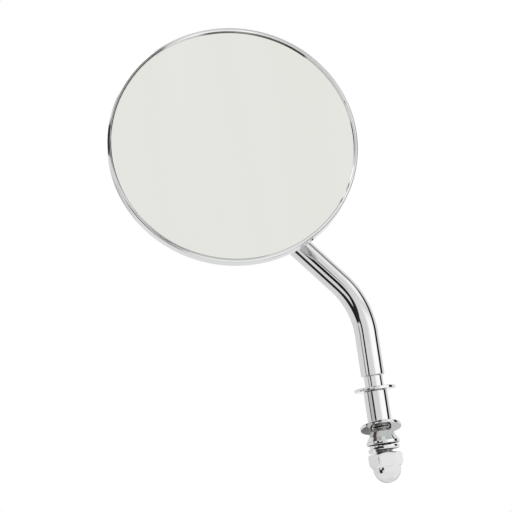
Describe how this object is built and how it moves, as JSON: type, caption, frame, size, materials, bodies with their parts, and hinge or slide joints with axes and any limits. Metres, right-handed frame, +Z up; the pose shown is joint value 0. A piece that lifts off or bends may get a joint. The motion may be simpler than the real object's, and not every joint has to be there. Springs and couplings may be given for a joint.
{
  "type": "motorcycle mirror",
  "caption": "Round chromed handlebar mirror: flat glass in a rolled rim, domed back on a friction ball swivel, bent rod stem and threaded stud with washers, sleeve, cone and domed nut.",
  "frame": {"origin": "on the fixing stud's axis, at the underside of the upper washer, where the top of a handlebar bracket sits", "axes": "+Z up along the stud, the glass faces -Y, and the stem bends towards -X"},
  "size_m": [0.1049, 0.0748, 0.197],
  "materials": {
    "chrome_plate": "bright chrome plate on steel",
    "silvered_glass": "flat glass silvered on its back",
    "seal_rubber": "black rubber sheet",
    "zinc_steel": "zinc-plated steel",
    "liner_nylon": "natural nylon",
    "cup_brass": "turned brass"
  },
  "bodies": {
    "stem_body": {"stem": "chrome_plate", "ball_socket": "chrome_plate", "disc_springs": "zinc_steel", "tension_cap": "chrome_plate", "upper_washer": "chrome_plate", "spacer_sleeve": "chrome_plate", "lower_washer": "chrome_plate", "cone_bush": "chrome_plate", "lock_washer": "chrome_plate", "acorn_nut": "chrome_plate"},
    "cup_body": {"pressure_cup": "cup_brass"},
    "liner_body": {"ball_liner": "liner_nylon"},
    "head_body": {"bezel_ring": "chrome_plate", "mirror_glass": "silvered_glass", "glass_seal": "seal_rubber", "back_shell": "chrome_plate", "backing_plate": "zinc_steel", "ball_stud": "chrome_plate", "stud_lock_washer": "zinc_steel", "stud_nut": "zinc_steel"}
  },
  "joints": [
    {"name": "spin", "type": "hinge", "parent": "stem_body", "child": "cup_body", "pos_m": [-0.04986, 0, 0.09919], "axis": [0.1337, -0.976, 0.1719], "continuous": true},
    {"name": "pan", "type": "hinge", "parent": "cup_body", "child": "liner_body", "pos_m": [-0.04986, 0, 0.09919], "axis": [-0.0233, 0.1703, 0.9851], "range_deg": [-20, 20]},
    {"name": "tilt", "type": "hinge", "parent": "liner_body", "child": "head_body", "pos_m": [-0.04986, 0, 0.09919], "axis": [0.9907, 0.1357, 0], "range_deg": [-20, 20]}
  ]
}
